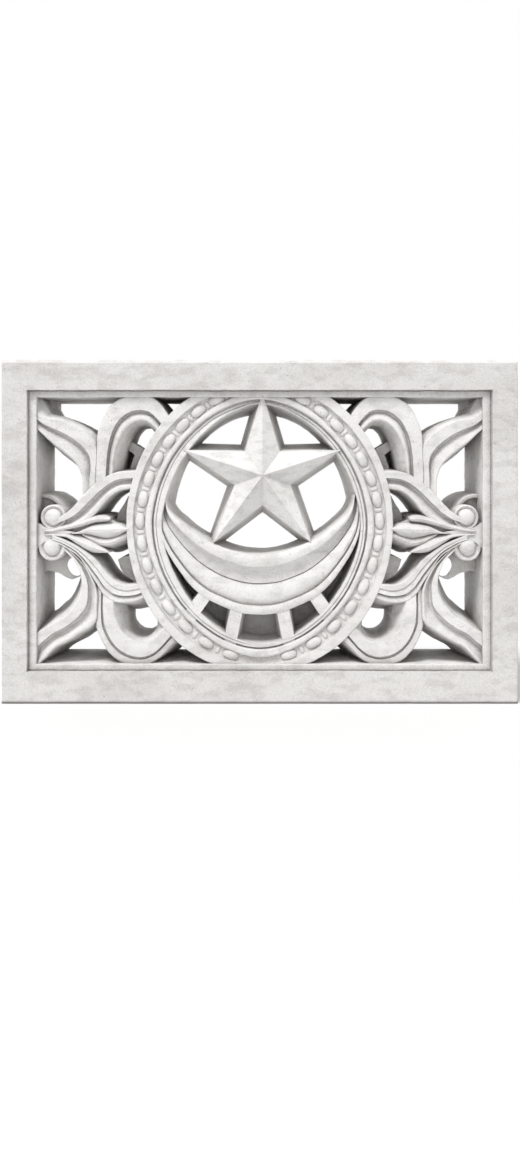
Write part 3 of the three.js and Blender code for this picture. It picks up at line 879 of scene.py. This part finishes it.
def weather(mesh):
    """Makes the edges a little uneven, inside the panel's size."""
    noise.seed_set(WAVE_SEED)
    half = Vector((PANEL_WIDTH / 2, PANEL_THICKNESS / 2, 0)) * MM
    for vert in mesh.vertices:
        shift = Vector((0, 0, 0))
        for size, height in WAVES:
            shift += noise.noise_vector(vert.co / (size * MM)) * height * MM
        moved = vert.co + Vector((shift.x, shift.y * DEPTH_SHARE, shift.z))
        vert.co = (
            min(max(moved.x, -half.x), half.x),
            min(max(moved.y, -half.y), half.y),
            min(max(moved.z, 0), PANEL_HEIGHT * MM),
        )


# Looks

def colour_ramp(nodes, stops):
    """Ramp over greys whose darker stops lean towards brown; a stop is (position, grey)."""
    ramp = nodes.new("ShaderNodeValToRGB")
    while len(ramp.color_ramp.elements) < len(stops):
        ramp.color_ramp.elements.new(0.5)
    for element, (at, value) in zip(ramp.color_ramp.elements, stops):
        element.position = at
        element.color = (*[value ** power for power in BROWN_LEAN], 1)
    return ramp


def make_stone():
    """Pale cast stone: soft mottling, a fine grain, small air holes, speckled grit in the recesses, and
    painted shade in the creases and recesses, along the bed and on the outer face.
    """
    stone = bpy.data.materials.new("cast_stone")
    stone.use_nodes = True
    nodes = stone.node_tree.nodes
    links = stone.node_tree.links
    shader = nodes["Principled BSDF"]
    shader.inputs["Roughness"].default_value = STONE_ROUGHNESS
    shader.inputs["Specular IOR Level"].default_value = STONE_SHINE
    place_in_stone = nodes.new("ShaderNodeTexCoord").outputs["Object"]

    def noise_texture(size, detail, vector=place_in_stone):
        """Noise with patches of a size in metres."""
        texture = nodes.new("ShaderNodeTexNoise")
        texture.inputs["Scale"].default_value = 1 / size
        texture.inputs["Detail"].default_value = detail
        links.new(vector, texture.inputs["Vector"])
        return texture.outputs["Fac"]

    def spread(value, stops):
        """The value turned into a colour by a ramp over the stops."""
        ramp = colour_ramp(nodes, stops)
        links.new(value, ramp.inputs["Fac"])
        return ramp.outputs["Color"]

    def multiply(first, second, mask=None):
        """Product of two colours, only where the mask is light if there is one."""
        mix = nodes.new("ShaderNodeMix")
        mix.data_type = "RGBA"
        mix.blend_type = "MULTIPLY"
        mix.inputs["Factor"].default_value = 1
        if mask:
            links.new(mask, mix.inputs["Factor"])
        links.new(first, mix.inputs["A"])
        links.new(second, mix.inputs["B"])
        return mix.outputs["Result"]

    def added(first, second):
        """Sum of two values; the second may be a number."""
        total = nodes.new("ShaderNodeMath")
        total.operation = "ADD"
        links.new(first, total.inputs[0])
        if isinstance(second, float):
            total.inputs[1].default_value = second
        else:
            links.new(second, total.inputs[1])
        return total.outputs["Value"]

    def painted_shade(reach, stops):
        """Painted shade: darkening of places that have other stone within reach of them."""
        nook = nodes.new("ShaderNodeAmbientOcclusion")
        nook.inputs["Distance"].default_value = reach
        nook.samples = 1
        nook.only_local = True
        return spread(nook.outputs["AO"], stops)

    def bump(height, strength, distance):
        """Bump node that makes the surface look as if it had the height."""
        node = nodes.new("ShaderNodeBump")
        node.inputs["Strength"].default_value = strength
        node.inputs["Distance"].default_value = distance
        links.new(height, node.inputs["Height"])
        return node

    lengthwise = nodes.new("ShaderNodeMapping")
    lengthwise.inputs["Scale"].default_value = (SMEAR, 1, 1)
    links.new(place_in_stone, lengthwise.inputs["Vector"])
    smeared = lengthwise.outputs["Vector"]
    tint = nodes.new("ShaderNodeRGB")
    tint.outputs[0].default_value = STONE_COLOUR
    blotches = spread(noise_texture(BLOTCH_SIZE, 4, smeared), [(0.36, 0.9), (0.58, 1)])
    mottling = spread(noise_texture(MOTTLING_SIZE, 5, smeared), [(0.36, 0.87), (0.52, 1)])
    grain = spread(noise_texture(GRAIN_SIZE, 2), [(0.3, 0.84), (0.6, 1)])

    cells = nodes.new("ShaderNodeTexVoronoi")
    cells.inputs["Scale"].default_value = 1 / HOLE_SPACING
    links.new(place_in_stone, cells.inputs["Vector"])
    closed_skin = spread(noise_texture(CLOSED_SKIN_SIZE, 2), [(0.42, 0), (0.55, 0.2)])
    holes = spread(added(cells.outputs["Distance"], closed_skin), [(0.07, 0.55), (0.14, 1)])

    axes = nodes.new("ShaderNodeSeparateXYZ")
    links.new(place_in_stone, axes.inputs["Vector"])
    # Painted shadow: a thin dark line along the bed, where the panel meets the floor
    bed_shadow = spread(axes.outputs["Z"], [(BED_SHADOW / 2, 0.08), (BED_SHADOW, 1)])
    # Painted shade: the outer face, close to the front, is darkened a little against the carving
    depth = added(axes.outputs["Y"], PANEL_THICKNESS / 2 * MM)
    painted_face_shade = spread(depth, list(zip(FACE_SHADE_DEPTHS, (FACE_SHADE, 1))))

    # Painted shade: creases and recesses are darkened by how much stone lies near them
    creases = painted_shade(CREASE_REACH, [(0.12, 0.66), (0.75, 1)])
    recesses = painted_shade(RECESS_REACH, [(0.2, 0.76), (0.86, 1)])
    colour = tint.outputs[0]
    for layer in (blotches, mottling, grain, creases, recesses, holes, bed_shadow, painted_face_shade):
        colour = multiply(colour, layer)
    # Speckled grit only in the recesses: rough wall texture, and with it more painted shade there
    nooks = painted_shade(RECESS_REACH, [(0.3, 1), (0.9, 0)])
    grit = spread(noise_texture(GRIT_SIZE, 3), [(0.38, 0.7), (0.6, 1)])
    links.new(multiply(colour, grit, nooks), shader.inputs["Base Color"])

    pitting = bump(noise_texture(PITTING_SIZE, 4), *PITTING_BUMP)
    hollows = bump(holes, *HOLE_BUMP)
    links.new(pitting.outputs["Normal"], hollows.inputs["Normal"])
    links.new(hollows.outputs["Normal"], shader.inputs["Normal"])
    return stone


def make_floor():
    """Pale matt floor, far wider than the view."""
    mesh = bpy.data.meshes.new("floor")
    corners = [(-1, -1), (1, -1), (1, 1), (-1, 1)]
    mesh.from_pydata([(x * FLOOR_REACH, y * FLOOR_REACH, 0) for x, y in corners], [], [(0, 1, 2, 3)])
    floor = bpy.data.objects.new("floor", mesh)
    bpy.context.scene.collection.objects.link(floor)
    paper = bpy.data.materials.new("pale_floor")
    paper.use_nodes = True
    shader = paper.node_tree.nodes["Principled BSDF"]
    shader.inputs["Base Color"].default_value = FLOOR_COLOUR
    shader.inputs["Roughness"].default_value = 1
    shader.inputs["Specular IOR Level"].default_value = 0
    mesh.materials.append(paper)


def make_light(name, bearing, height, softness, strength):
    """Distant soft light: bearing is measured from straight in front of the face, towards the right."""
    data = bpy.data.lights.new(name, "SUN")
    data.angle = softness * DEGREE
    data.energy = strength
    light = bpy.data.objects.new(name, data)
    bpy.context.scene.collection.objects.link(light)
    light.rotation_euler = ((90 - height) * DEGREE, 0, bearing * DEGREE)


def make_room():
    """White surroundings that light the panel less than they show."""
    room = bpy.data.worlds.new("room")
    room.use_nodes = True
    nodes = room.node_tree.nodes
    links = room.node_tree.links
    sky = nodes["Background"]
    sky.inputs["Color"].default_value = (1, 1, 1, 1)
    sky.inputs["Strength"].default_value = ROOM_LIGHT
    seen = nodes.new("ShaderNodeBackground")
    seen.inputs["Color"].default_value = (1, 1, 1, 1)
    seen.inputs["Strength"].default_value = 1
    ray = nodes.new("ShaderNodeLightPath")
    mix = nodes.new("ShaderNodeMixShader")
    links.new(ray.outputs["Is Camera Ray"], mix.inputs["Fac"])
    links.new(sky.outputs["Background"], mix.inputs[1])
    links.new(seen.outputs["Background"], mix.inputs[2])
    links.new(mix.outputs["Shader"], nodes["World Output"].inputs["Surface"])
    bpy.context.scene.world = room
    bpy.context.scene.view_settings.view_transform = "Standard"


def make_camera():
    """Camera as the photo was taken: level, square to the face, about a metre away."""
    data = bpy.data.cameras.new("camera")
    camera = bpy.data.objects.new("camera", data)
    bpy.context.scene.collection.objects.link(camera)
    camera.location = (0, -(CAMERA_DISTANCE + PANEL_THICKNESS / 2) * MM, CAMERA_HEIGHT * MM)
    camera.rotation_euler = (math.pi / 2, 0, 0)
    data.sensor_fit = "VERTICAL"
    data.sensor_height = SENSOR
    data.sensor_width = SENSOR
    data.lens = PHOTO_SCALE * CAMERA_DISTANCE * SENSOR / PHOTO_HEIGHT
    data.shift_x = (PHOTO_WIDTH / 2 - PHOTO_AXIS[0]) / PHOTO_HEIGHT
    data.shift_y = (PHOTO_AXIS[1] - PHOTO_HEIGHT / 2) / PHOTO_HEIGHT
    bpy.context.scene.camera = camera


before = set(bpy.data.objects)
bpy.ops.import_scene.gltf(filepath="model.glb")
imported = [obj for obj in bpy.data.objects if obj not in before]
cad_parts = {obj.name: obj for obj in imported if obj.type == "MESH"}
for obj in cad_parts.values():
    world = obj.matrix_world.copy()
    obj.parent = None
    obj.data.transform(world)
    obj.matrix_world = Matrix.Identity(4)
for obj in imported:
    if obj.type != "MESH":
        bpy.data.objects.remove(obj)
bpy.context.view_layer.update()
make_camera()

panel = make_carving()
panel.data.materials.clear()
panel.data.materials.append(make_stone())
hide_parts("screen_panel")
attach(panel, "root")

make_floor()
make_room()
make_light("key", *KEY_LIGHT)
